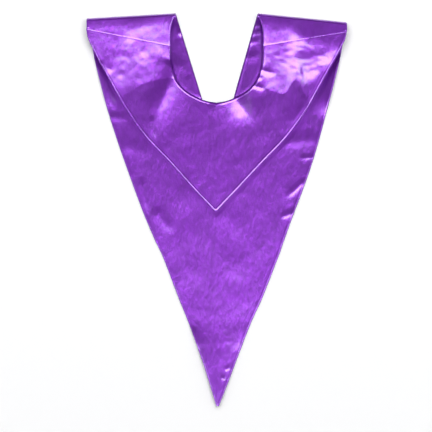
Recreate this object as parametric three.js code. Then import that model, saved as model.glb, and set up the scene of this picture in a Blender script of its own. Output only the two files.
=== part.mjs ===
// A choir V stole in purple satin, laid flat: its long pointed front lies face down on the surface, turns
// over at both shoulders, and its short pointed back lies on top. Millimetres, X to the wearer's side,
// Y towards the shoulders, Z up. The origin is on the surface, under the middle of the outline. Places on
// the cloth are given by x, across, and by down, the distance below the neck end of the shoulder folds.
import * as THREE from "three";
import { mergeVertices } from "three/addons/utils/BufferGeometryUtils.js";

// Driving sizes
const LENGTH = 764; // from the shoulder folds to the long point
const NECK_HALF = 79.5; // from the middle to the neck end of a shoulder fold
const FRONT_NECK_DEPTH = 268; // the V neck of the front, from the folds to its point
const FOLD_DROP = { left: 10, right: 17.5 }; // how much lower a fold's outer end lies than its neck end
const PLY = 1; // one satin with its pressed turning
const PLY_GAP = 0.3; // between the cloths of a panel, and between the panels
const SEAM_GAP = 0.4; // between the panels' edges at a shoulder seam

// The turn of the cloth at a shoulder: an under and an over quarter of an ellipse, each with its reach
const TURN = { underReach: 6, underRise: 6.5, overReach: 5, overRise: 11 };
const SEAM = { neckDown: 63, leftDown: 31, rightDown: 36 }; // the ends of the shoulder seams

// Half the width of the long front and how far its middle sways to the right, from the shoulders down
const FRONT_SECTIONS = [
  { down: 0, half: 255.8, sway: 0.8 },
  { down: 90, half: 238.7, sway: 1 },
  { down: 163, half: 220.6, sway: 1 },
  { down: 257, half: 193.4, sway: 3 },
  { down: 323, half: 171.2, sway: 4.2 },
  { down: 381, half: 149.6, sway: 4 },
  { down: 440, half: 126.4, sway: 5.6 },
  { down: 475, half: 112, sway: 7.8 },
  { down: 557, half: 80.2, sway: 7.3 },
  { down: 600, half: 61.6, sway: 6.2 },
  { down: 674, half: 34, sway: 5.2 },
  { down: 744, half: 9.5, sway: 3 },
  { down: LENGTH, half: 2.5, sway: 2 },
];

// The same for the short back
const BACK_SECTIONS = [
  { down: 31, half: 253.5, sway: 0 },
  { down: 44, half: 251.5, sway: 0 },
  { down: 71, half: 240, sway: 0 },
  { down: 122, half: 212, sway: -1 },
  { down: 186, half: 176, sway: 0 },
  { down: 237, half: 139.5, sway: -1 },
  { down: 286, half: 93, sway: -1 },
  { down: 338, half: 45.5, sway: -2 },
  { down: 383, half: 2.5, sway: -2 },
];
const BACK_POINT = BACK_SECTIONS.at(-1).down;

// The round neck of the back, from a shoulder seam to the middle
const BACK_NECK = [
  { half: 90, down: SEAM.neckDown },
  { half: 89, down: 95 },
  { half: 78.5, down: 128 },
  { half: 61, down: 148.5 },
  { half: 39, down: 162 },
  { half: 18, down: 170 },
  { half: 0, down: 172.8 },
];
const NECK_SPREADS_BY = 40; // distance down over which the neck edge runs out to the back's width
const BACK_OUTER_AT_NECK = 190; // the outer edge's place in the section at the bottom of the neck

// How the upper cloth comes down from the shoulder ridges: where it starts to fall, and where it lies flat.
// With a low bow it falls evenly and ends in a sharp line, and with a high one it fades out.
const FALLS = [
  { x: -253, starts: 12, ends: 190, bow: 1.3 },
  { x: -208, starts: 9, ends: 172, bow: 1.3 },
  { x: -169, starts: 11, ends: 142, bow: 1.35 },
  { x: -130, starts: 5, ends: 122, bow: 1.1 },
  { x: -90, starts: 0, ends: 116, bow: 1.05 },
  { x: 90, starts: 12, ends: 134, bow: 1.05 },
  { x: 130, starts: 14, ends: 146, bow: 1.05 },
  { x: 154, starts: 25, ends: 120, bow: 1.15 },
  { x: 188, starts: 46, ends: 170, bow: 1.15 },
  { x: 253, starts: 58, ends: 160, bow: 1.4 },
];
const FALL_CORNER = 20; // distance over which the fall rounds over at its start

// The largest soft folds of the short back: each a crest between two places [x, down], with its width on the
// right, looking along it, and on the left. It grows before the first place and fades before the last.
const BACK_FOLDS = [
  {
    name: "left neck", from: [-80, 108], to: [-134, 235],
    height: 6.2, right: 20, left: 26, grow: 14, fade: 110,
  },
  {
    name: "right neck", from: [32, 157], to: [80, 222],
    height: 6.8, right: 29, left: 17, grow: 15, fade: 82,
  },
  {
    name: "right yoke", from: [164, 88], to: [236, 80],
    height: 1, right: 12, left: 12, grow: 22, fade: 36,
  },
  {
    name: "right shoulder", from: [172, 112], to: [214, 102],
    height: 1.3, right: 16, left: 16, grow: 13, fade: 22,
  },
  {
    name: "right edge", from: [205, 135], to: [125, 243],
    height: 2.2, right: 14, left: 12, grow: 40, fade: 67,
  },
  {
    name: "left shoulder", from: [-190, 86], to: [-183, 145],
    height: 0.8, right: 14, left: 24, grow: 15, fade: 35,
  },
];

// The same for the long front, where it shows below the back
const FRONT_FOLDS = [
  {
    name: "left lip", from: [-232, 85], to: [-196, 200],
    height: 3, right: 14, left: 8, grow: 30, fade: 50,
  },
  {
    name: "right lip", from: [240, 85], to: [208, 205],
    height: 4.5, right: 16, left: 8, grow: 40, fade: 40,
  },
  {
    name: "left upper", from: [-204, 200], to: [-170, 206],
    height: 0.9, right: 7, left: 7, grow: 10, fade: 17,
  },
  {
    name: "left lower", from: [-175, 258], to: [-120, 272],
    height: 0.8, right: 14, left: 16, grow: 17, fade: 28,
  },
  {
    name: "left middle", from: [-114, 389], to: [-80, 430],
    height: 1.1, right: 12, left: 12, grow: 16, fade: 27,
  },
  {
    name: "right upper", from: [184, 246], to: [110, 252],
    height: 0.8, right: 12, left: 10, grow: 22, fade: 37,
  },
  {
    name: "right edge", from: [165, 330], to: [132, 362],
    height: 1.4, right: 6, left: 6, grow: 14, fade: 23,
  },
  {
    name: "right lower", from: [150, 387], to: [118, 399],
    height: 1, right: 6, left: 5, grow: 10, fade: 17,
  },
  {
    name: "left point", from: [-44, 601], to: [-14, 630],
    height: 0.3, right: 3, left: 3, grow: 12, fade: 21,
  },
];

// Near its end the long point is creased: a line comes in from its left edge and runs down to the tip. The
// cloth lifts from it to the left edge and falls to the right one, and the end curls up a little.
const POINT_CREASE = [
  { down: 570, x: -62, height: 0, edge: 0 },
  { down: 600, x: -44, height: 0.4, edge: 0.8 },
  { down: 625, x: -22, height: 1.4, edge: 3.4 },
  { down: 646, x: -10, height: 2, edge: 4.8 },
  { down: 675, x: -4, height: 2.2, edge: 4.6 },
  { down: 700, x: -1, height: 2.1, edge: 3.7 },
  { down: 730, x: 1, height: 1.7, edge: 2.4 },
  { down: LENGTH, x: 1.5, height: 0.6, edge: 0.7 },
];
const CREASE_ROUNDING = 0.05; // the part of the way to the edge over which the crease is rounded
const CURL = { starts: 650, height: 6.8, bow: 1.4 };

// The grid of the cloth: strips across each half panel, and rows along it
const ACROSS = 12;
const ROWS = { point: 31, arm: 10, turn: 6, yoke: 3, backNeck: 12, backPoint: 12 };

const panelDepth = 2 * PLY + PLY_GAP;
const frontRest = panelDepth / 2; // height of the front's middle where it lies flat
const backRest = frontRest + panelDepth + PLY_GAP; // and of the back's, lying on it
const turnMiddle = frontRest + TURN.underRise; // where the cloth stands upright in the turn
const ridge = turnMiddle + TURN.overRise;
const sideName = (side) => (side < 0 ? "left" : "right");

const clamp = THREE.MathUtils.clamp;
const mix = THREE.MathUtils.lerp;
const smoothstep = THREE.MathUtils.smoothstep;

// A column of a table at a value of its key, on a smooth curve through its rows that never overshoots them
function section(table, column, value, key = "down") {
  const last = table.length - 1;
  const at = clamp(value, table[0][key], table[last][key]);
  const next = table.findIndex((entry) => entry[key] > at);
  const k = next < 0 ? last - 1 : next - 1;
  const slope = (j) => (table[j + 1][column] - table[j][column]) / (table[j + 1][key] - table[j][key]);
  const tangent = (j) => {
    if (j === 0 || j === last) return slope(Math.min(j, last - 1));
    const [before, after] = [slope(j - 1), slope(j)];
    return before * after > 0 ? (2 * before * after) / (before + after) : 0;
  };
  const width = table[k + 1][key] - table[k][key];
  const t = (at - table[k][key]) / width;
  return (
    (1 + 2 * t) * (1 - t) ** 2 * table[k][column] +
    t * (1 - t) ** 2 * width * tangent(k) +
    t ** 2 * (3 - 2 * t) * table[k + 1][column] +
    t ** 2 * (t - 1) * width * tangent(k + 1)
  );
}

const frontEdge = (side, down) =>
  section(FRONT_SECTIONS, "sway", down) + side * section(FRONT_SECTIONS, "half", down);
const backEdge = (side, down) =>
  section(BACK_SECTIONS, "sway", down) + side * section(BACK_SECTIONS, "half", down);
const middleX = (down) => section(FRONT_SECTIONS, "sway", down);

// The sum of a table's soft folds at a place on the cloth
function relief(folds, x, down) {
  let sum = 0;
  for (const f of folds) {
    const [runX, runDown] = [f.to[0] - f.from[0], f.to[1] - f.from[1]];
    const [offX, offDown] = [x - f.from[0], down - f.from[1]];
    const run = Math.hypot(runX, runDown);
    const along = (offX * runX + offDown * runDown) / run;
    const across = (offX * runDown - offDown * runX) / run;
    const lift = smoothstep(along, -f.grow, 0) * (1 - smoothstep(along, run - f.fade, run));
    sum += f.height * lift * Math.exp(-((across / (across > 0 ? f.left : f.right)) ** 2));
  }
  return sum;
}

const BACK_FOLDS_START = { from: 33, to: 78 }; // distances down between which the back's folds come in

// The height of the upper cloth: the ridge's until it starts to fall, and then down to lie flat
function overHeight(x, down) {
  const [starts, ends] = [section(FALLS, "starts", x, "x"), section(FALLS, "ends", x, "x")];
  const past = Math.max(0, down - starts);
  const gone = past < FALL_CORNER ? past ** 2 / (2 * FALL_CORNER) : past - FALL_CORNER / 2;
  const fall = clamp(1 - gone / (ends - starts), 0, 1) ** section(FALLS, "bow", x, "x");
  const ripple = relief(BACK_FOLDS, x, down) * smoothstep(down, BACK_FOLDS_START.from, BACK_FOLDS_START.to);
  return backRest + Math.max(0, (ridge - backRest) * fall + ripple);
}

const FRONT_FOLDS_START = { from: 4, to: 24 }; // distances past the back's edge where the front's come in

// How far the long point stands up beside its crease and towards its end
function pointLift(x, down) {
  const crease = section(POINT_CREASE, "x", down);
  const side = x > crease ? 1 : -1;
  const width = Math.max(PLY, Math.abs(frontEdge(side, down) - crease));
  const out = Math.min(1, Math.hypot((x - crease) / width, CREASE_ROUNDING) - CREASE_ROUNDING);
  const edge = side > 0 ? 0 : section(POINT_CREASE, "edge", down);
  const curl = CURL.height * Math.max(0, (down - CURL.starts) / (LENGTH - CURL.starts)) ** CURL.bow;
  return mix(section(POINT_CREASE, "height", down), edge, out) + curl;
}

// The height of the lower cloth: flat under the back, with soft folds where it shows
function underHeight(x, down) {
  const beyondPoint = Math.max(0, down - BACK_POINT);
  const past = Math.abs(x) - section(BACK_SECTIONS, "half", down) + beyondPoint;
  const shown = smoothstep(past, FRONT_FOLDS_START.from, FRONT_FOLDS_START.to);
  return frontRest + shown * (Math.max(0, relief(FRONT_FOLDS, x, down)) + pointLift(x, down));
}

const place = (x, down, z) => new THREE.Vector3(x, LENGTH / 2 - down, z);

// A row of places from an inner to an outer one, given as [x, down], at the height from height(x, down)
function row(inner, outer, height) {
  return Array.from({ length: ACROSS + 1 }, (_, i) => {
    const s = i / ACROSS;
    const [x, down] = [mix(inner[0], outer[0], s), mix(inner[1], outer[1], s)];
    return place(x, down, height(x, down));
  });
}

// One half of the long front: from its point up to the V neck, up the arm, over the turn, down to the seam
function frontHalf(side) {
  const drop = FOLD_DROP[sideName(side)];
  const rows = [];
  for (let i = 0; i <= ROWS.point; i++) {
    const down = mix(LENGTH, FRONT_NECK_DEPTH, i / ROWS.point);
    rows.push(row([middleX(down), down], [frontEdge(side, down), down], underHeight));
  }
  const neckX = (down) => mix(side * NECK_HALF, middleX(FRONT_NECK_DEPTH), down / FRONT_NECK_DEPTH);
  const underEnds = (down) => {
    const outDown = down + drop * (1 - down / FRONT_NECK_DEPTH);
    return [[neckX(down), down], [frontEdge(side, outDown), outDown]];
  };
  for (let i = 1; i <= ROWS.arm; i++) {
    const down = mix(FRONT_NECK_DEPTH, TURN.underReach, i / ROWS.arm);
    rows.push(row(...underEnds(down), underHeight));
  }
  for (let i = 1; i <= ROWS.turn; i++) {
    const angle = (Math.PI / 2) * (i / ROWS.turn - 1);
    const down = TURN.underReach * (1 - Math.cos(angle));
    rows.push(row(...underEnds(down), () => turnMiddle + TURN.underRise * Math.sin(angle)));
  }
  const neckSpread = (down) => {
    const t = Math.min(1, down / NECK_SPREADS_BY);
    return side * mix(NECK_HALF, BACK_NECK[0].half, Math.sin((Math.PI / 2) * t));
  };
  for (let i = 1; i <= ROWS.turn; i++) {
    const angle = (Math.PI / 2) * (i / ROWS.turn);
    const down = TURN.overReach * (1 - Math.cos(angle));
    const ends = [[neckSpread(down), down], [frontEdge(side, drop), drop + down]];
    rows.push(row(...ends, () => turnMiddle + TURN.overRise * Math.sin(angle)));
  }
  const seamOut = SEAM[sideName(side) + "Down"];
  for (let i = 1; i <= ROWS.yoke; i++) {
    const down = mix(TURN.overReach, SEAM.neckDown - SEAM_GAP / 2, i / ROWS.yoke);
    const outDown = mix(drop + TURN.overReach, seamOut - SEAM_GAP / 2, i / ROWS.yoke);
    rows.push(row([neckSpread(down), down], [frontEdge(side, drop), outDown], overHeight));
  }
  return rows;
}

// One half of the short back: from the seam down its round neck, and on to its point
function backHalf(side) {
  const neck = new THREE.SplineCurve(BACK_NECK.map((n) => new THREE.Vector2(n.half, n.down)));
  const seamOut = SEAM[sideName(side) + "Down"] + SEAM_GAP / 2;
  const rows = [];
  for (let i = 0; i <= ROWS.backNeck; i++) {
    const t = i / ROWS.backNeck;
    const at = neck.getPointAt(t);
    const inner = [side * at.x + section(BACK_SECTIONS, "sway", at.y) * t, at.y + (SEAM_GAP / 2) * (1 - t)];
    const outDown = mix(seamOut, BACK_OUTER_AT_NECK, t);
    rows.push(row(inner, [backEdge(side, outDown), outDown], overHeight));
  }
  const neckBottom = BACK_NECK.at(-1).down;
  for (let i = 1; i <= ROWS.backPoint; i++) {
    const t = i / ROWS.backPoint;
    const [down, outDown] = [mix(neckBottom, BACK_POINT, t), mix(BACK_OUTER_AT_NECK, BACK_POINT, t)];
    const middle = section(BACK_SECTIONS, "sway", down);
    rows.push(row([middle, down], [backEdge(side, outDown), outDown], overHeight));
  }
  return rows;
}

// The middle surface of a panel: both halves' rows joined into one sheet with smooth normals
function sheet(half) {
  const positions = [];
  for (const side of [-1, 1]) {
    const rows = half(side);
    for (let r = 0; r + 1 < rows.length; r++) {
      for (let c = 0; c < ACROSS; c++) {
        const [near, far] = [rows[r], rows[r + 1]];
        const [second, fourth] = side > 0 ? [near[c + 1], far[c]] : [far[c], near[c + 1]];
        const ring = [near[c], second, far[c + 1], fourth];
        // each four-sided patch is halved along its more level diagonal, so a slanting fold stays smooth
        const turned = Math.abs(ring[0].z - ring[2].z) > Math.abs(ring[1].z - ring[3].z);
        const [p, q, s, t] = turned ? [ring[1], ring[2], ring[3], ring[0]] : ring;
        for (const v of [p, q, s, p, s, t]) positions.push(v.x, v.y, v.z);
      }
    }
  }
  const loose = new THREE.BufferGeometry();
  loose.setAttribute("position", new THREE.Float32BufferAttribute(positions, 3));
  const joined = mergeVertices(loose, 1e-3);
  joined.computeVertexNormals();
  return joined;
}

// A closed cloth between two distances from a sheet, measured along its normals
function cloth(surface, from, to) {
  const [position, normal] = [surface.getAttribute("position"), surface.getAttribute("normal")];
  const count = position.count;
  const points = [];
  for (const away of [to, from]) {
    for (let i = 0; i < count; i++) {
      points.push(position.getX(i) + away * normal.getX(i));
      points.push(position.getY(i) + away * normal.getY(i));
      points.push(position.getZ(i) + away * normal.getZ(i));
    }
  }
  const faces = Array.from(surface.index.array);
  const index = [...faces];
  const edges = new Map();
  for (let f = 0; f < faces.length; f += 3) {
    const [a, b, c] = faces.slice(f, f + 3);
    index.push(c + count, b + count, a + count);
    for (const [u, v] of [[a, b], [b, c], [c, a]]) {
      if (!edges.delete(v + "," + u)) edges.set(u + "," + v, [u, v]);
    }
  }
  for (const [u, v] of edges.values()) index.push(v, u, u + count, v, u + count, v + count);
  const geometry = new THREE.BufferGeometry();
  geometry.setAttribute("position", new THREE.Float32BufferAttribute(points, 3));
  geometry.setIndex(index);
  geometry.computeVertexNormals();
  return geometry;
}

const satin = () => new THREE.MeshStandardMaterial({ color: 0x7a35b4, roughness: 0.35, metalness: 0.3 });

function piece(name, surface, from, to) {
  const mesh = new THREE.Mesh(cloth(surface, from, to), satin());
  mesh.name = name;
  return mesh;
}

// Rows run from the long point up, over the turn and on to the short point, so that a sheet's normals point
// to the lining's side all the way
const outside = PLY_GAP / 2 + PLY;
const inside = PLY_GAP / 2;
const front = sheet(frontHalf);
const back = sheet(backHalf);

const stole = new THREE.Group();
stole.name = "choir_v_stole";
stole.add(piece("front_shell", front, -outside, -inside));
stole.add(piece("front_lining", front, inside, outside));
stole.add(piece("back_shell", back, -outside, -inside));
stole.add(piece("back_lining", back, inside, outside));

export default stole;
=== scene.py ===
import math

import bpy
import numpy as np
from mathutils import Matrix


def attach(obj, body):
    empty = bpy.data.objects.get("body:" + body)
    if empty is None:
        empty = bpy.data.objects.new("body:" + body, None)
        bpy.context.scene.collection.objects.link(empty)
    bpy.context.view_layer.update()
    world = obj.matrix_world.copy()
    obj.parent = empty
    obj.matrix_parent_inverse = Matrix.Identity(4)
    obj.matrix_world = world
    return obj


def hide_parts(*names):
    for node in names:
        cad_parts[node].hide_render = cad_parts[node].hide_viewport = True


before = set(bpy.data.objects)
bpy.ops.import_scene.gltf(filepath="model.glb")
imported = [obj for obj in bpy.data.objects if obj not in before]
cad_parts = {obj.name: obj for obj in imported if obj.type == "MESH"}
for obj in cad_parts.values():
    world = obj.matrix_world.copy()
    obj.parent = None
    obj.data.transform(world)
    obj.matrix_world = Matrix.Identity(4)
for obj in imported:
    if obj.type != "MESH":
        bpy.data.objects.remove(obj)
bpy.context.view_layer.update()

# The long front's outer cloth: bright purple satin, cut to a long point with a V neck. It lies face down
# on the table, turns over softly at both shoulders and shows on top as the strip between the fold and the
# shoulder seam.

# Places on the cloth are given by x, across, and by down, the distance below the neck end of the folds.
LENGTH = 0.764
NECK_HALF = 0.0795
FRONT_NECK_DEPTH = 0.268
FOLD_DROP = {-1: 0.010, 1: 0.0175}
TURN = {"under_reach": 0.006, "under_rise": 0.0065, "over_reach": 0.005, "over_rise": 0.0110}
SEAM = {"neck_down": 0.063, -1: 0.031, 1: 0.036}
NECK_SPREADS_BY = 0.040
BACK_NECK_HALF = 0.090
SKIN = 0.00115  # from the middle of a panel's two cloths to its face
PANEL_TO_PANEL = 0.0026  # from the middle of the front to that of the back, which lies on it
FRONT_REST = SKIN
BACK_REST = FRONT_REST + PANEL_TO_PANEL
TURN_MIDDLE = FRONT_REST + TURN["under_rise"]
RIDGE = TURN_MIDDLE + TURN["over_rise"]

# Half of each panel's width, and how far its middle sways to the right, from the shoulders down.
FRONT_SECTIONS = [
    {"down": 0.000, "half": 0.2558, "sway": 0.0008},
    {"down": 0.090, "half": 0.2387, "sway": 0.0010},
    {"down": 0.163, "half": 0.2206, "sway": 0.0010},
    {"down": 0.257, "half": 0.1934, "sway": 0.0030},
    {"down": 0.323, "half": 0.1712, "sway": 0.0042},
    {"down": 0.381, "half": 0.1496, "sway": 0.0040},
    {"down": 0.440, "half": 0.1264, "sway": 0.0056},
    {"down": 0.475, "half": 0.1120, "sway": 0.0078},
    {"down": 0.557, "half": 0.0802, "sway": 0.0073},
    {"down": 0.600, "half": 0.0616, "sway": 0.0062},
    {"down": 0.674, "half": 0.0340, "sway": 0.0052},
    {"down": 0.744, "half": 0.0095, "sway": 0.0030},
    {"down": LENGTH, "half": 0.0025, "sway": 0.0020},
]
BACK_SECTIONS = [
    {"down": 0.031, "half": 0.2535, "sway": 0.0000},
    {"down": 0.044, "half": 0.2515, "sway": 0.0000},
    {"down": 0.071, "half": 0.2400, "sway": 0.0000},
    {"down": 0.122, "half": 0.2120, "sway": -0.0010},
    {"down": 0.186, "half": 0.1760, "sway": 0.0000},
    {"down": 0.237, "half": 0.1395, "sway": -0.0010},
    {"down": 0.286, "half": 0.0930, "sway": -0.0010},
    {"down": 0.338, "half": 0.0455, "sway": -0.0020},
    {"down": 0.383, "half": 0.0025, "sway": -0.0020},
]

# From the fold the upper layer keeps its height, then falls to rest on the lower layer. A low bow lets it
# fall evenly and end in a sharp line, and a high one lets it fade out.
FALLS = [
    {"x": -0.253, "starts": 0.012, "ends": 0.190, "bow": 1.3},
    {"x": -0.208, "starts": 0.009, "ends": 0.172, "bow": 1.3},
    {"x": -0.169, "starts": 0.011, "ends": 0.142, "bow": 1.35},
    {"x": -0.130, "starts": 0.005, "ends": 0.122, "bow": 1.1},
    {"x": -0.090, "starts": 0.000, "ends": 0.116, "bow": 1.05},
    {"x": 0.090, "starts": 0.012, "ends": 0.134, "bow": 1.05},
    {"x": 0.130, "starts": 0.014, "ends": 0.146, "bow": 1.05},
    {"x": 0.154, "starts": 0.025, "ends": 0.120, "bow": 1.15},
    {"x": 0.188, "starts": 0.046, "ends": 0.170, "bow": 1.15},
    {"x": 0.253, "starts": 0.058, "ends": 0.160, "bow": 1.4},
]
FALL_CORNER = 0.020

# Each fold is a crest, or a trough where its height is below 0, from one place (x, down) to another. It
# grows before the first and fades before the last, over shares of its length where nothing else is said.
# It falls away over one width on its right, looking along it, and over another on its left. A lower edge
# makes it sharper.
GROWS_OVER, FADES_OVER = 0.3, 0.5
UNDER_FOLDS = [
    {"from": (-0.232, 0.085), "to": (-0.196, 0.200),
     "height": 0.0030, "right": 0.014, "left": 0.008, "edge": 1.6,
     "grow": 0.030, "fade": 0.050},
    {"from": (0.240, 0.085), "to": (0.208, 0.205),
     "height": 0.0045, "right": 0.016, "left": 0.008, "edge": 1.5,
     "grow": 0.040, "fade": 0.040},
    {"from": (-0.204, 0.200), "to": (-0.170, 0.206),
     "height": 0.0009, "right": 0.007, "left": 0.007, "edge": 1.6},
    {"from": (-0.175, 0.258), "to": (-0.120, 0.272),
     "height": 0.0008, "right": 0.014, "left": 0.016, "edge": 1.8},
    {"from": (-0.145, 0.334), "to": (-0.132, 0.396),
     "height": 0.0012, "right": 0.005, "left": 0.006, "edge": 1.5},
    {"from": (-0.114, 0.389), "to": (-0.080, 0.430),
     "height": 0.0011, "right": 0.012, "left": 0.012, "edge": 1.6},
    {"from": (0.184, 0.246), "to": (0.110, 0.252),
     "height": 0.0008, "right": 0.012, "left": 0.010, "edge": 1.8},
    {"from": (0.187, 0.279), "to": (0.156, 0.281),
     "height": 0.0008, "right": 0.004, "left": 0.004, "edge": 1.5},
    {"from": (0.165, 0.330), "to": (0.132, 0.362),
     "height": 0.0014, "right": 0.006, "left": 0.006, "edge": 1.4},
    {"from": (0.150, 0.387), "to": (0.118, 0.399),
     "height": 0.0010, "right": 0.006, "left": 0.005, "edge": 1.4},
    {"from": (-0.044, 0.601), "to": (-0.014, 0.630),
     "height": 0.0003, "right": 0.003, "left": 0.003, "edge": 1.3},
    {"from": (-0.017, 0.470), "to": (-0.017, 0.570),
     "height": -0.0004, "right": 0.007, "left": 0.007, "edge": 1.8},
    {"from": (0.020, 0.410), "to": (0.018, 0.462),
     "height": -0.0004, "right": 0.010, "left": 0.006, "edge": 1.8},
    {"from": (0.018, 0.692), "to": (0.028, 0.688),
     "height": 0.0006, "right": 0.003, "left": 0.003, "edge": 1.4},
    {"from": (0.010, 0.708), "to": (0.018, 0.712),
     "height": 0.0006, "right": 0.003, "left": 0.003, "edge": 1.4},
]
OVER_FOLDS = [
    {"from": (-0.080, 0.108), "to": (-0.134, 0.235),
     "height": 0.0062, "right": 0.020, "left": 0.026, "edge": 1.5,
     "grow": 0.014, "fade": 0.110},
    {"from": (0.032, 0.157), "to": (0.080, 0.222),
     "height": 0.0068, "right": 0.029, "left": 0.017, "edge": 1.4,
     "grow": 0.015, "fade": 0.082},
    {"from": (0.164, 0.088), "to": (0.236, 0.080),
     "height": 0.0010, "right": 0.012, "left": 0.012, "edge": 2.0},
    {"from": (0.172, 0.112), "to": (0.214, 0.102),
     "height": 0.0013, "right": 0.016, "left": 0.016, "edge": 2.0},
    {"from": (0.205, 0.135), "to": (0.125, 0.243),
     "height": 0.0022, "right": 0.014, "left": 0.012, "edge": 1.6},
    {"from": (-0.190, 0.086), "to": (-0.183, 0.145),
     "height": 0.0008, "right": 0.014, "left": 0.024, "edge": 1.4},
    {"from": (-0.222, 0.098), "to": (-0.198, 0.114),
     "height": 0.0006, "right": 0.006, "left": 0.006, "edge": 1.6},
    {"from": (0.078, 0.107), "to": (0.118, 0.118),
     "height": 0.0014, "right": 0.005, "left": 0.005, "edge": 1.4},
    {"from": (0.071, 0.122), "to": (0.092, 0.127),
     "height": 0.0011, "right": 0.004, "left": 0.004, "edge": 1.4},
    {"from": (0.072, 0.140), "to": (0.098, 0.147),
     "height": 0.0015, "right": 0.005, "left": 0.006, "edge": 1.4},
    {"from": (-0.215, 0.040), "to": (-0.160, 0.044),
     "height": 0.0009, "right": 0.012, "left": 0.012, "edge": 1.7},
    {"from": (-0.126, 0.210), "to": (-0.117, 0.250),
     "height": 0.0008, "right": 0.007, "left": 0.007, "edge": 1.6},
]
OVER_FOLDS_START = (0.033, 0.078)  # from and to these distances down the upper layer's folds come in
UNDER_FOLDS_START = (0.002, 0.012)  # and the lower layer's do so this far past the back's edge

# Near its end the long point is creased: a line comes in from its left edge and runs down to the tip. The
# cloth lifts from it to the left edge and falls to the right one, and the end curls up a little.
POINT_CREASE = [
    {"down": 0.570, "x": -0.062, "height": 0.0000, "edge": 0.0000},
    {"down": 0.600, "x": -0.044, "height": 0.0004, "edge": 0.0008},
    {"down": 0.625, "x": -0.022, "height": 0.0014, "edge": 0.0034},
    {"down": 0.646, "x": -0.010, "height": 0.0020, "edge": 0.0048},
    {"down": 0.675, "x": -0.004, "height": 0.0022, "edge": 0.0046},
    {"down": 0.700, "x": -0.001, "height": 0.0021, "edge": 0.0037},
    {"down": 0.730, "x": 0.001, "height": 0.0017, "edge": 0.0024},
    {"down": LENGTH, "x": 0.0015, "height": 0.0006, "edge": 0.0007},
]
CREASE_ROUNDING = 0.05  # the share of the way to the edge over which the crease is rounded
POINT_NARROWEST = 0.001
CURL = {"starts": 0.650, "height": 0.0068, "bow": 1.4}

# Where the satin is crumpled finely: each patch's middle, reach, height and wave length.
CRUMPLES = [
    {"at": (0.018, 0.642), "reach": (0.020, 0.034), "height": 0.00006, "length": 0.011, "seed": 21},
    {"at": (0.165, 0.085), "reach": (0.060, 0.030), "height": 0.00009, "length": 0.012, "seed": 22},
    {"at": (-0.185, 0.080), "reach": (0.050, 0.045), "height": 0.00006, "length": 0.014, "seed": 23},
    {"at": (0.150, 0.190), "reach": (0.030, 0.050), "height": 0.00005, "length": 0.014, "seed": 24},
]
CRUMPLE_FADE = (0.5, 1.6)  # shares of the reach between which a patch fades out
WAVE_SPREAD = (0.7, 1.5)  # the shortest and longest of a set of waves, as shares of its wave length

# No laid satin is quite even: long low swells, short ones and, on the shoulders, middling ones.
OVER_SWELLS = [
    {"height": 0.00020, "length": 0.055, "seed": 3},
    {"height": 0.00006, "length": 0.018, "seed": 4},
]
UNDER_SWELLS = [
    {"height": 0.00024, "length": 0.070, "seed": 11},
    {"height": 0.00005, "length": 0.020, "seed": 12},
]
YOKE_SWELL = {"height": 0.00012, "length": 0.034, "seed": 7}
YOKE_SWELL_STARTS, YOKE_SWELL_ENDS = (0.020, 0.045), (0.120, 0.200)
CRUMPLES_START = (0.012, 0.030)

# The round neck's edge, beside which the lower layer shows, and the folds of the strips there.
NECK_EDGE = [
    {"down": 0.0000, "half": 0.0795},
    {"down": 0.0200, "half": 0.0870},
    {"down": 0.0400, "half": 0.0900},
    {"down": 0.0950, "half": 0.0890},
    {"down": 0.1280, "half": 0.0785},
    {"down": 0.1485, "half": 0.0610},
    {"down": 0.1620, "half": 0.0390},
    {"down": 0.1728, "half": 0.0000},
]
NECK_STRIP_FOLDS = [
    {"from": (-0.074, 0.024), "to": (-0.068, 0.046),
     "height": 0.0018, "right": 0.006, "left": 0.006, "edge": 1.6},
    {"from": (-0.066, 0.034), "to": (-0.050, 0.062),
     "height": 0.0009, "right": 0.010, "left": 0.008, "edge": 1.7},
    {"from": (-0.086, 0.046), "to": (-0.080, 0.092),
     "height": -0.0010, "right": 0.009, "left": 0.006, "edge": 1.7},
    {"from": (-0.088, 0.096), "to": (-0.056, 0.108),
     "height": 0.0013, "right": 0.016, "left": 0.010, "edge": 1.7},
    {"from": (0.070, 0.024), "to": (0.092, 0.022),
     "height": 0.0010, "right": 0.004, "left": 0.004, "edge": 1.6},
    {"from": (0.068, 0.038), "to": (0.092, 0.034),
     "height": 0.0012, "right": 0.005, "left": 0.005, "edge": 1.6},
    {"from": (0.066, 0.055), "to": (0.090, 0.050),
     "height": 0.0012, "right": 0.005, "left": 0.005, "edge": 1.6},
    {"from": (0.058, 0.085), "to": (0.088, 0.078),
     "height": 0.0010, "right": 0.008, "left": 0.006, "edge": 1.7},
]
NECK_STRIP_LIFT = 0.0004
NECK_STRIP_IN = (-0.001, 0.006)  # distances inside the neck's edge between which its folds come in
NECK_STRIP_STARTS = (0.008, 0.020)


def smooth(value, low, high):
    """0 up to low, 1 from high on, and a soft step between them."""
    t = np.clip((value - low) / (high - low), 0.0, 1.0)
    return t * t * (3.0 - 2.0 * t)


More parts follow.
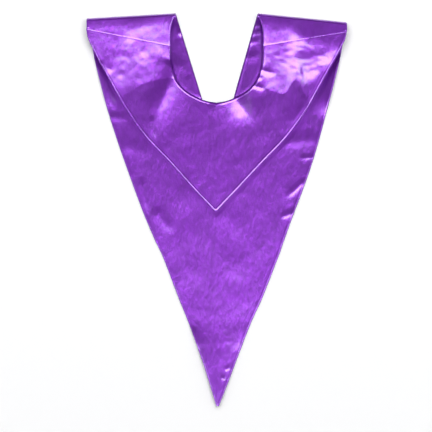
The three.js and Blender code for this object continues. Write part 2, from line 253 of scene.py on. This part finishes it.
def section(table, column, value, key="down"):
    """A column of a table at values of its key, on a smooth curve that never overshoots the rows."""
    keys = np.array([row[key] for row in table])
    ends = np.array([row[column] for row in table])
    at = np.clip(np.asarray(value, dtype=float), keys[0], keys[-1])
    k = np.clip(np.searchsorted(keys, at, side="right") - 1, 0, len(keys) - 2)
    slopes = np.diff(ends) / np.diff(keys)
    before, after = slopes[:-1], slopes[1:]
    same_way = before * after > 0
    middle = np.where(same_way, 2 * before * after / np.where(same_way, before + after, 1), 0)
    tangents = np.concatenate([slopes[:1], middle, slopes[-1:]])
    width = keys[k + 1] - keys[k]
    t = (at - keys[k]) / width
    return (
        (1 + 2 * t) * (1 - t) ** 2 * ends[k]
        + t * (1 - t) ** 2 * width * tangents[k]
        + t ** 2 * (3 - 2 * t) * ends[k + 1]
        + t ** 2 * (t - 1) * width * tangents[k + 1]
    )


def front_edge(side, down):
    """Where the front's edge is on a side, -1 for the left one and 1 for the right one."""
    return section(FRONT_SECTIONS, "sway", down) + side * section(FRONT_SECTIONS, "half", down)


def back_edge(side, down):
    """Where the back's edge is on a side."""
    return section(BACK_SECTIONS, "sway", down) + side * section(BACK_SECTIONS, "half", down)


def relief(folds, x, down):
    """The height of all of a table's folds together at places on the cloth."""
    total = np.zeros_like(x)
    for f in folds:
        run_x, run_down = f["to"][0] - f["from"][0], f["to"][1] - f["from"][1]
        run = math.hypot(run_x, run_down)
        dx, dd = x - f["from"][0], down - f["from"][1]
        along = (dx * run_x + dd * run_down) / run
        left = (dx * run_down - dd * run_x) / run
        width = np.where(left > 0, f["left"], f["right"])
        grown = smooth(along, -f.get("grow", GROWS_OVER * run), 0)
        faded = smooth(along, run - f.get("fade", FADES_OVER * run), run)
        total += f["height"] * grown * (1 - faded) * np.exp(-(np.abs(left / width) ** f["edge"]))
    return total


def waves(x, down, length, seed, count=9):
    """Soft unevenness of that wave length, between about -1 and 1, the same on each run."""
    draw = np.random.RandomState(seed)
    total = np.zeros_like(x)
    for _ in range(count):
        turn, phase = draw.uniform(0, 2 * math.pi, 2)
        number = 2 * math.pi / (length * draw.uniform(*WAVE_SPREAD))
        total += np.cos(number * (x * math.cos(turn) + down * math.sin(turn)) + phase)
    return total / math.sqrt(2 * count)


def swells(table, x, down):
    """A table's swells, which lift the cloth and never press it down."""
    return sum(w["height"] * (1 + waves(x, down, w["length"], w["seed"])) for w in table)


def crumple(x, down):
    """The fine crumpling's height at places on the cloth."""
    total = np.zeros_like(x)
    for c in CRUMPLES:
        far = np.hypot((x - c["at"][0]) / c["reach"][0], (down - c["at"][1]) / c["reach"][1])
        here = 1 - smooth(far, *CRUMPLE_FADE)
        total += c["height"] * (1 + waves(x, down, c["length"], c["seed"])) * here
    return total


def over_height(x, down):
    """The upper layer's height: the fold's until it starts to fall, then down to the lower layer."""
    starts = section(FALLS, "starts", x, "x")
    run = section(FALLS, "ends", x, "x") - starts
    past = np.maximum(0, down - starts)
    gone = np.where(past < FALL_CORNER, past ** 2 / (2 * FALL_CORNER), past - FALL_CORNER / 2)
    left = np.clip(1 - gone / run, 0, 1)
    fall = left ** section(FALLS, "bow", x, "x")
    folds = relief(OVER_FOLDS, x, down) * smooth(down, *OVER_FOLDS_START)
    on_yoke = smooth(down, *YOKE_SWELL_STARTS) * (1 - smooth(down, *YOKE_SWELL_ENDS))
    uneven = swells(OVER_SWELLS, x, down) + swells([YOKE_SWELL], x, down) * on_yoke
    fine = crumple(x, down) * smooth(down, *CRUMPLES_START)
    return BACK_REST + np.maximum(0, (RIDGE - BACK_REST) * fall + folds) + uneven + fine


def point_lift(x, down):
    """How far the long point stands up beside its crease and towards its end."""
    crease = section(POINT_CREASE, "x", down)
    side = np.where(x > crease, 1.0, -1.0)
    width = np.maximum(POINT_NARROWEST, np.abs(front_edge(side, down) - crease))
    out = np.minimum(1, np.hypot((x - crease) / width, CREASE_ROUNDING) - CREASE_ROUNDING)
    height = section(POINT_CREASE, "height", down)
    edge = np.where(side > 0, 0, section(POINT_CREASE, "edge", down))
    to_tip = np.maximum(0, (down - CURL["starts"]) / (LENGTH - CURL["starts"]))
    return height + (edge - height) * out + CURL["height"] * to_tip ** CURL["bow"]


def under_height(x, down):
    """The lower layer's height: flat under the back, with soft folds where it shows beside it."""
    beyond_point = np.maximum(0, down - BACK_SECTIONS[-1]["down"])
    past = np.abs(x) - section(BACK_SECTIONS, "half", down) + beyond_point
    shown = smooth(past, *UNDER_FOLDS_START)
    uneven = swells(UNDER_SWELLS, x, down)
    inside_edge = section(NECK_EDGE, "half", down) - np.abs(x)
    in_neck = smooth(inside_edge, *NECK_STRIP_IN) * smooth(down, *NECK_STRIP_STARTS)
    strip = np.maximum(0, relief(NECK_STRIP_FOLDS, x, down) + uneven + NECK_STRIP_LIFT)
    folds = np.maximum(0, relief(UNDER_FOLDS, x, down) + uneven + crumple(x, down))
    return FRONT_REST + shown * (folds + point_lift(x, down)) + in_neck * strip


# A sheet's points lie close together at its edge, at these distances from it.
EDGE_STEPS = np.array([0.0, 0.0002, 0.0006, 0.0012, 0.0020, 0.0029, 0.0039])
CLOSE_ROWS = len(EDGE_STEPS) - 1


def stops(count, width, narrow=0.25):
    """Distances across a row of that width, close together at both ends, where the cloth rounds over."""
    near = EDGE_STEPS * min(1.0, narrow * width / EDGE_STEPS[-1])
    middle = np.linspace(near[-1], width - near[-1], count + 1)
    return np.concatenate([near[:-1], middle, width - near[-2::-1]])


def laid_row(inner, outer, count, height):
    """Points from an inner to an outer place (x, down), at the height that height(x, down) gives."""
    width = math.hypot(outer[0] - inner[0], outer[1] - inner[1])
    s = stops(count, width) / width
    x = inner[0] + (outer[0] - inner[0]) * s
    down = inner[1] + (outer[1] - inner[1]) * s
    return np.stack([x, LENGTH / 2 - down, height(x, down)], axis=1)


FRONT_ACROSS = 56
FRONT_ROWS = {"point": 200, "arm": 72, "turn": 10, "yoke": 20}


def front_half(side):
    """The front's middle surface on one side, in rows: from its point up, over the turn, to the seam."""
    drop = FOLD_DROP[side]
    rows = []
    for reach in stops(FRONT_ROWS["point"], LENGTH - FRONT_NECK_DEPTH):
        down = LENGTH - reach
        middle = float(section(FRONT_SECTIONS, "sway", down))
        rows.append(laid_row((middle, down), (front_edge(side, down), down), FRONT_ACROSS, under_height))
    neck_point = float(section(FRONT_SECTIONS, "sway", FRONT_NECK_DEPTH))

    def under_ends(down):
        share = down / FRONT_NECK_DEPTH
        inner = side * NECK_HALF + (neck_point - side * NECK_HALF) * share
        out_down = down + drop * (1 - share)
        return (inner, down), (float(front_edge(side, out_down)), out_down)

    for down in np.linspace(FRONT_NECK_DEPTH, TURN["under_reach"], FRONT_ROWS["arm"] + 1)[1:]:
        rows.append(laid_row(*under_ends(down), FRONT_ACROSS, under_height))
    for angle in np.linspace(-math.pi / 2, 0, FRONT_ROWS["turn"] + 1)[1:]:
        down = TURN["under_reach"] * (1 - math.cos(angle))
        z = TURN_MIDDLE + TURN["under_rise"] * math.sin(angle)
        rows.append(laid_row(*under_ends(down), FRONT_ACROSS, lambda x, d: np.full_like(x, z)))

    def neck_x(down):
        t = min(1.0, down / NECK_SPREADS_BY)
        return side * (NECK_HALF + (BACK_NECK_HALF - NECK_HALF) * math.sin(math.pi / 2 * t))

    outer_x = float(front_edge(side, drop))
    for angle in np.linspace(0, math.pi / 2, FRONT_ROWS["turn"] + 1)[1:]:
        down = TURN["over_reach"] * (1 - math.cos(angle))
        z = TURN_MIDDLE + TURN["over_rise"] * math.sin(angle)
        top = smooth(angle, math.pi / 4, math.pi / 2)  # how far the yoke's own unevenness has come in

        def over_turn(x, d):
            return z + top * (over_height(x, d) - RIDGE)

        rows.append(laid_row((neck_x(down), down), (outer_x, drop + down), FRONT_ACROSS, over_turn))
    for reach in stops(FRONT_ROWS["yoke"], 1.0)[1:]:
        down = TURN["over_reach"] + (SEAM["neck_down"] - TURN["over_reach"]) * reach
        out_down = drop + TURN["over_reach"] + (SEAM[side] - drop - TURN["over_reach"]) * reach
        rows.append(laid_row((neck_x(down), down), (outer_x, out_down), FRONT_ACROSS, over_height))
    return rows


SAME_PLACE_DIGITS = 7  # points that agree to so many decimals are one point


def middle_sheet(half):
    """Both halves' rows as one sheet: its points, its four-sided faces and the lines round its edge."""
    points, faces = [], []
    for side in (-1, 1):
        rows = half(side)
        start = sum(len(p) for p in points)
        across = len(rows[0])
        for r in range(len(rows) - 1):
            a = start + r * across + np.arange(across - 1)
            quad = np.stack([a, a + 1, a + across + 1, a + across], axis=1)
            faces.append(quad if side > 0 else quad[:, ::-1])
        points += rows
    points, faces = np.concatenate(points), np.concatenate(faces)
    to_digits = np.round(points, SAME_PLACE_DIGITS)
    _, first, same = np.unique(to_digits, axis=0, return_index=True, return_inverse=True)
    points, faces = points[first], same.ravel()[faces]
    turns = np.concatenate([faces[:, [i, (i + 1) % 4]] for i in range(4)])
    ways, count = np.unique(np.sort(turns, axis=1), axis=0, return_counts=True)
    rim_lines = ways[count == 1]
    return points, faces, rim_lines


def smooth_normals(points, faces):
    """The way a sheet faces at each of its points."""
    normals = np.zeros_like(points)
    a, b, c, d = (points[faces[:, i]] for i in range(4))
    across = np.cross(c - a, d - b)
    for i in range(4):
        np.add.at(normals, faces[:, i], across)
    return normals / np.linalg.norm(normals, axis=1, keepdims=True)


RIM_REACH = 0.0055  # no point is looked at further than this from the edge
RIM_STEP = 0.0004


def from_rim(points, rim_lines):
    """Each point's distance from these lines of the sheet's edge, up to the reach."""
    rim = []
    for a, b in rim_lines:
        steps = max(1, int(np.linalg.norm(points[b] - points[a]) / RIM_STEP))
        t = np.arange(steps)[:, None] / steps
        rim.append(points[a] + (points[b] - points[a]) * t)
    rim = np.concatenate(rim)
    cell = {}
    for i, key in enumerate(map(tuple, np.floor(rim / RIM_REACH).astype(int))):
        cell.setdefault(key, []).append(i)
    far = np.full(len(points), RIM_REACH)
    around = [(i, j, k) for i in (-1, 0, 1) for j in (-1, 0, 1) for k in (-1, 0, 1)]
    for n, (i, j, k) in enumerate(map(tuple, np.floor(points / RIM_REACH).astype(int))):
        close = [m for di, dj, dk in around for m in cell.get((i + di, j + dj, k + dk), ())]
        if close:
            far[n] = min(RIM_REACH, np.linalg.norm(rim[close] - points[n], axis=1).min())
    return far


# A pressed edge: the cloth rounds down to the edge seam, behind a low bead where the turned-in allowance
# lies. Beside a shoulder seam it rounds down much less.
EDGE_ROUND = 0.0028
EDGE_SKIN = 0.00010
EDGE_BEAD = 0.00040
BEAD_WIDTH = 0.0011
SEAM_ROUND = 0.0007
SEAM_SKIN = 0.00100
SEAM_REACH = 0.0035
INNER_SKIN = 0.00055
ON_SEAM = 0.0006  # a point this near to the seam's line lies on it
SEAM_ENDS = 0.002  # the share of a seam at each end that belongs to the panel's edge


def along_seam(points):
    """Whether each point lies on one of the shoulder seams."""
    on = np.zeros(len(points), dtype=bool)
    for side in (-1, 1):
        inner = np.array([side * BACK_NECK_HALF, LENGTH / 2 - SEAM["neck_down"]])
        outer = np.array([back_edge(side, SEAM[side]), LENGTH / 2 - SEAM[side]])
        run = outer - inner
        t = (points[:, :2] - inner) @ run / (run @ run)
        off = np.abs(np.cross(run, points[:, :2] - inner)) / np.linalg.norm(run)
        between = (t > SEAM_ENDS) & (t < 1 - SEAM_ENDS)
        on |= (off < ON_SEAM) & between & (points[:, 2] > TURN_MIDDLE)
    return on


def cloth_piece(name, sheet, way):
    """One cloth on a side of a sheet, rounded over at its edge to meet the other in the edge seam."""
    points, faces, rim_lines = sheet
    normals = smooth_normals(points, faces)
    rim = np.unique(rim_lines)
    seam_rim = along_seam(points) & np.isin(np.arange(len(points)), rim)
    on_seam = seam_rim[rim_lines].all(axis=1)
    from_edge = from_rim(points, rim_lines[~on_seam])
    from_seam = from_rim(points, rim_lines[on_seam])
    full = np.sqrt(1 - (1 - np.clip(from_edge / EDGE_ROUND, 0, 1)) ** 2)
    bead = EDGE_BEAD * np.exp(-((from_edge - EDGE_ROUND) / BEAD_WIDTH) ** 2)
    seam_full = np.sqrt(1 - (1 - np.clip(from_seam / SEAM_ROUND, 0, 1)) ** 2)
    at_edge = EDGE_SKIN + (SKIN - EDGE_SKIN) * full + bead
    at_seam = SEAM_SKIN + (SKIN - SEAM_SKIN) * seam_full
    skin = np.minimum(at_edge, at_seam + bead)
    skin = np.where(from_seam < SEAM_REACH, np.minimum(skin, at_seam), skin)
    inner_skin = np.minimum(INNER_SKIN, 0.5 * skin)
    outer = points + way * normals * skin[:, None]
    inner = points + way * normals * inner_skin[:, None]
    count = len(points)
    out_faces = faces if way > 0 else faces[:, ::-1]
    in_faces = (faces[:, ::-1] if way > 0 else faces) + count
    corners = np.stack([out_faces, np.roll(out_faces, -1, axis=1)], axis=2).reshape(-1, 2)
    key = np.sort(corners, axis=1)
    rim_keys = {tuple(k) for k in rim_lines.tolist()}
    walls = [
        (b, a, a + count, b + count)
        for (a, b), k in zip(corners.tolist(), key.tolist())
        if tuple(k) in rim_keys
    ]
    mesh = bpy.data.meshes.new(name)
    mesh.from_pydata(np.concatenate([outer, inner]), [], out_faces.tolist() + in_faces.tolist() + walls)
    mesh.shade_smooth()
    flat = mesh.uv_layers.new(name="cut")
    loops = np.empty(len(mesh.loops), dtype=np.int32)
    mesh.loops.foreach_get("vertex_index", loops)
    flat.data.foreach_set("uv", points[loops % count][:, :2].astype(np.float32).ravel())
    piece = bpy.data.objects.new(name, mesh)
    bpy.context.scene.collection.objects.link(piece)
    return piece


SATIN = (0.184, 0.0172, 0.430)
TONE_SPREAD = 0.14


def satin():
    """Purple polyester satin: bright, a little cloudy in tone, with its long floats lying down the length
    of the stole, and faintly rippled by handling."""
    material = bpy.data.materials.new("purple_satin")
    material.use_nodes = True
    nodes, links = material.node_tree.nodes, material.node_tree.links
    surface = nodes["Principled BSDF"]
    place = nodes.new("ShaderNodeTexCoord")

    stretch = nodes.new("ShaderNodeMapping")
    stretch.inputs["Scale"].default_value = (1.0, 0.35, 1.0)
    links.new(place.outputs["Object"], stretch.inputs["Vector"])
    clouds = nodes.new("ShaderNodeTexNoise")
    clouds.inputs["Scale"].default_value = 42.0
    clouds.inputs["Detail"].default_value = 6.0
    clouds.inputs["Roughness"].default_value = 0.62
    links.new(stretch.outputs["Vector"], clouds.inputs["Vector"])
    tone = nodes.new("ShaderNodeValToRGB")
    tone.color_ramp.elements[0].position = 0.30
    tone.color_ramp.elements[0].color = tuple(c * (1 - TONE_SPREAD) for c in SATIN) + (1,)
    tone.color_ramp.elements[1].position = 0.72
    tone.color_ramp.elements[1].color = tuple(c * (1 + TONE_SPREAD) for c in SATIN) + (1,)
    links.new(clouds.outputs["Fac"], tone.inputs["Fac"])
    links.new(tone.outputs["Color"], surface.inputs["Base Color"])

    floats = nodes.new("ShaderNodeTexNoise")
    floats.inputs["Scale"].default_value = 260.0
    floats.inputs["Detail"].default_value = 2.0
    long_way = nodes.new("ShaderNodeMapping")
    long_way.inputs["Scale"].default_value = (5.0, 0.5, 1.0)
    links.new(place.outputs["Object"], long_way.inputs["Vector"])
    links.new(long_way.outputs["Vector"], floats.inputs["Vector"])
    weave = nodes.new("ShaderNodeBump")
    weave.inputs["Strength"].default_value = 0.12
    weave.inputs["Distance"].default_value = 0.0001
    links.new(floats.outputs["Fac"], weave.inputs["Height"])

    mottle = nodes.new("ShaderNodeTexNoise")
    mottle.inputs["Scale"].default_value = 150.0
    mottle.inputs["Detail"].default_value = 3.0
    mottle.inputs["Roughness"].default_value = 0.6
    links.new(stretch.outputs["Vector"], mottle.inputs["Vector"])
    handled = nodes.new("ShaderNodeBump")
    handled.inputs["Strength"].default_value = 0.8
    handled.inputs["Distance"].default_value = 0.0012
    links.new(mottle.outputs["Fac"], handled.inputs["Height"])
    links.new(weave.outputs["Normal"], handled.inputs["Normal"])
    links.new(handled.outputs["Normal"], surface.inputs["Normal"])

    surface.inputs["Metallic"].default_value = 0.68
    surface.inputs["Roughness"].default_value = 0.33
    surface.inputs["Specular IOR Level"].default_value = 0.6
    surface.inputs["Specular Tint"].default_value = (1.0, 0.55, 1.0, 1)
    surface.inputs["Coat Weight"].default_value = 1.0
    surface.inputs["Coat Roughness"].default_value = 0.17
    surface.inputs["Coat IOR"].default_value = 1.7
    return material


purple_satin = satin()
front_sheet = middle_sheet(front_half)
front_shell = cloth_piece("front_shell_cloth", front_sheet, -1)
front_shell.data.materials.append(purple_satin)
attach(front_shell, "root")
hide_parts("front_shell")

# The long front's self lining: the same satin and cut, sewn to the outer cloth all round, turned right
# side out and pressed. It is the face of the long point, and of the strips beside the neck.
front_lining = cloth_piece("front_lining_cloth", front_sheet, 1)
front_lining.data.materials.append(purple_satin)
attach(front_lining, "root")
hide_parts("front_lining")

# The short back's self lining: the same satin, cut with a round neck and a shorter point. It lies face
# down on the long front, and shows only at the edges and in the gaps beside the shoulder folds.

# The round neck, as half widths and distances down, from a shoulder seam to the middle.
BACK_NECK = [
    (0.0900, 0.0630),
    (0.0890, 0.0950),
    (0.0785, 0.1280),
    (0.0610, 0.1485),
    (0.0390, 0.1620),
    (0.0180, 0.1700),
    (0.0000, 0.1728),
]
BACK_OUTER_AT_NECK = 0.190
BACK_ACROSS = 84
BACK_ROWS = {"neck": 80, "point": 112}
CURVE_STEPS = 24


def through(stations, share):
    """A place on the smooth curve through the stations, at a share of its length."""
    p = np.array([stations[0]] + stations + [stations[-1]])
    fine = []
    for i in range(1, len(p) - 2):
        t = np.linspace(0, 1, CURVE_STEPS, endpoint=False)[:, None]
        a = 2 * p[i]
        b = p[i + 1] - p[i - 1]
        c = 2 * p[i - 1] - 5 * p[i] + 4 * p[i + 1] - p[i + 2]
        d = 3 * p[i] - p[i - 1] - 3 * p[i + 1] + p[i + 2]
        fine.append(0.5 * (a + b * t + c * t ** 2 + d * t ** 3))
    fine = np.concatenate(fine + [p[-1:]])
    run = np.concatenate([[0], np.cumsum(np.linalg.norm(np.diff(fine, axis=0), axis=1))])
    at = share * run[-1]
    return float(np.interp(at, run, fine[:, 0])), float(np.interp(at, run, fine[:, 1]))


def back_half(side):
    """The back's middle surface on one side, in rows: from the seam down its neck, and on to its point.
    The close rows at a sheet's end are left out where the two parts meet."""
    rows = []
    for t in stops(BACK_ROWS["neck"], 1.0)[:1 - CLOSE_ROWS]:
        neck_half, down = through(BACK_NECK, t)
        inner_x = side * neck_half + float(section(BACK_SECTIONS, "sway", down)) * t
        out_down = SEAM[side] + (BACK_OUTER_AT_NECK - SEAM[side]) * t
        outer = (back_edge(side, out_down), out_down)
        rows.append(laid_row((inner_x, down), outer, BACK_ACROSS, over_height))
    bottom, point = BACK_NECK[-1][1], BACK_SECTIONS[-1]["down"]
    for t in stops(BACK_ROWS["point"], 1.0)[CLOSE_ROWS:]:
        down = bottom + (point - bottom) * t
        out_down = BACK_OUTER_AT_NECK + (point - BACK_OUTER_AT_NECK) * t
        middle = float(section(BACK_SECTIONS, "sway", down))
        outer = (back_edge(side, out_down), out_down)
        rows.append(laid_row((middle, down), outer, BACK_ACROSS, over_height))
    return rows


back_sheet = middle_sheet(back_half)
back_lining = cloth_piece("back_lining_cloth", back_sheet, 1)
back_lining.data.materials.append(purple_satin)
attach(back_lining, "root")
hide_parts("back_lining")

# The short back's outer cloth: the same satin and cut as its lining, sewn to it all round, turned and
# pressed. It is sewn to the front at the shoulders and lies on top, face up.
back_shell = cloth_piece("back_shell_cloth", back_sheet, -1)
back_shell.data.materials.append(purple_satin)
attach(back_shell, "root")
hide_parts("back_shell")

# The table it lies on: a plain white board, much larger than the stole. It is set a hair below the lowest
# cloth, so that the two don't share a face.
FLOOR_SIZE = 12.0
FLOOR_DROP = 0.0004
floor_mesh = bpy.data.meshes.new("floor")
half_floor = FLOOR_SIZE / 2
floor_mesh.from_pydata(
    [(-half_floor, -half_floor, -FLOOR_DROP), (half_floor, -half_floor, -FLOOR_DROP),
     (half_floor, half_floor, -FLOOR_DROP), (-half_floor, half_floor, -FLOOR_DROP)],
    [],
    [(0, 1, 2, 3)],
)
floor = bpy.data.objects.new("floor", floor_mesh)
bpy.context.scene.collection.objects.link(floor)
white_board = bpy.data.materials.new("white_board")
white_board.use_nodes = True
board = white_board.node_tree.nodes["Principled BSDF"]
board.inputs["Base Color"].default_value = (0.97, 0.97, 0.975, 1)
board.inputs["Roughness"].default_value = 0.9
board.inputs["Specular IOR Level"].default_value = 0.1
floor.data.materials.append(white_board)

# Soft studio light: a large bright softbox beyond the stole's point, which shows only in the satin's
# gloss, a dim one overhead, small ones at the sides, a fill that lights the board, and a faint room.
SOFTBOXES = [
    {"name": "key", "lean": 29, "turn": 4, "away": 6, "wide": 7.5, "high": 4.2,
     "glow": 7.8, "shine": True},
    {"name": "overhead", "lean": 5, "turn": 0, "away": 7, "wide": 2.6, "high": 2.2,
     "glow": 0.08, "shine": True},
    {"name": "right side", "lean": 26, "turn": 90, "away": 6, "wide": 2.0, "high": 2.4,
     "glow": 1.0, "shine": True},
    {"name": "left rim", "lean": 64, "turn": -80, "away": 6, "wide": 3, "high": 2.6,
     "glow": 2.0, "shine": True},
    {"name": "right rim", "lean": 64, "turn": 80, "away": 6, "wide": 3, "high": 2.6,
     "glow": 2.0, "shine": True},
    {"name": "fill", "lean": -25, "turn": 0, "away": 6, "wide": 8, "high": 6,
     "glow": 3.2, "shine": False},
]
KEY_COLOUR = (0.88, 0.91, 0.86)
for box in SOFTBOXES:
    light = bpy.data.lights.new(box["name"], "AREA")
    light.shape = "RECTANGLE"
    light.size = box["wide"]
    light.size_y = box["high"]
    light.color = KEY_COLOUR if box["name"] == "key" else (1, 1, 1)
    light.energy = box["glow"] * math.pi * box["wide"] * box["high"]
    softbox = bpy.data.objects.new(box["name"], light)
    lean, turn = math.radians(box["lean"]), math.radians(box["turn"])
    softbox.location = (
        box["away"] * math.sin(lean) * math.sin(turn),
        -box["away"] * math.sin(lean) * math.cos(turn),
        box["away"] * math.cos(lean),
    )
    softbox.rotation_euler = (lean, 0, turn)
    softbox.visible_camera = False
    softbox.visible_glossy = box["shine"]
    softbox.visible_diffuse = box["name"] != "key"
    bpy.context.scene.collection.objects.link(softbox)

room = bpy.data.worlds.new("room")
room.use_nodes = True
room.node_tree.nodes["Background"].inputs["Color"].default_value = (0.92, 0.94, 1.0, 1)
room.node_tree.nodes["Background"].inputs["Strength"].default_value = 0.07
bpy.context.scene.world = room
bpy.context.scene.view_settings.view_transform = "Standard"

# The camera looks straight down, as the photo does, from far enough away that the stole shows almost no
# perspective.
VIEW_WIDTH = 0.8424
VIEW_CENTRE = (-0.0013, -0.0117)
CAMERA_HEIGHT = 5.5
camera = bpy.data.cameras.new("camera")
camera.lens = camera.sensor_width * CAMERA_HEIGHT / VIEW_WIDTH
camera.clip_end = 50.0
camera_stand = bpy.data.objects.new("camera", camera)
camera_stand.location = (*VIEW_CENTRE, CAMERA_HEIGHT)
bpy.context.scene.collection.objects.link(camera_stand)
bpy.context.scene.camera = camera_stand
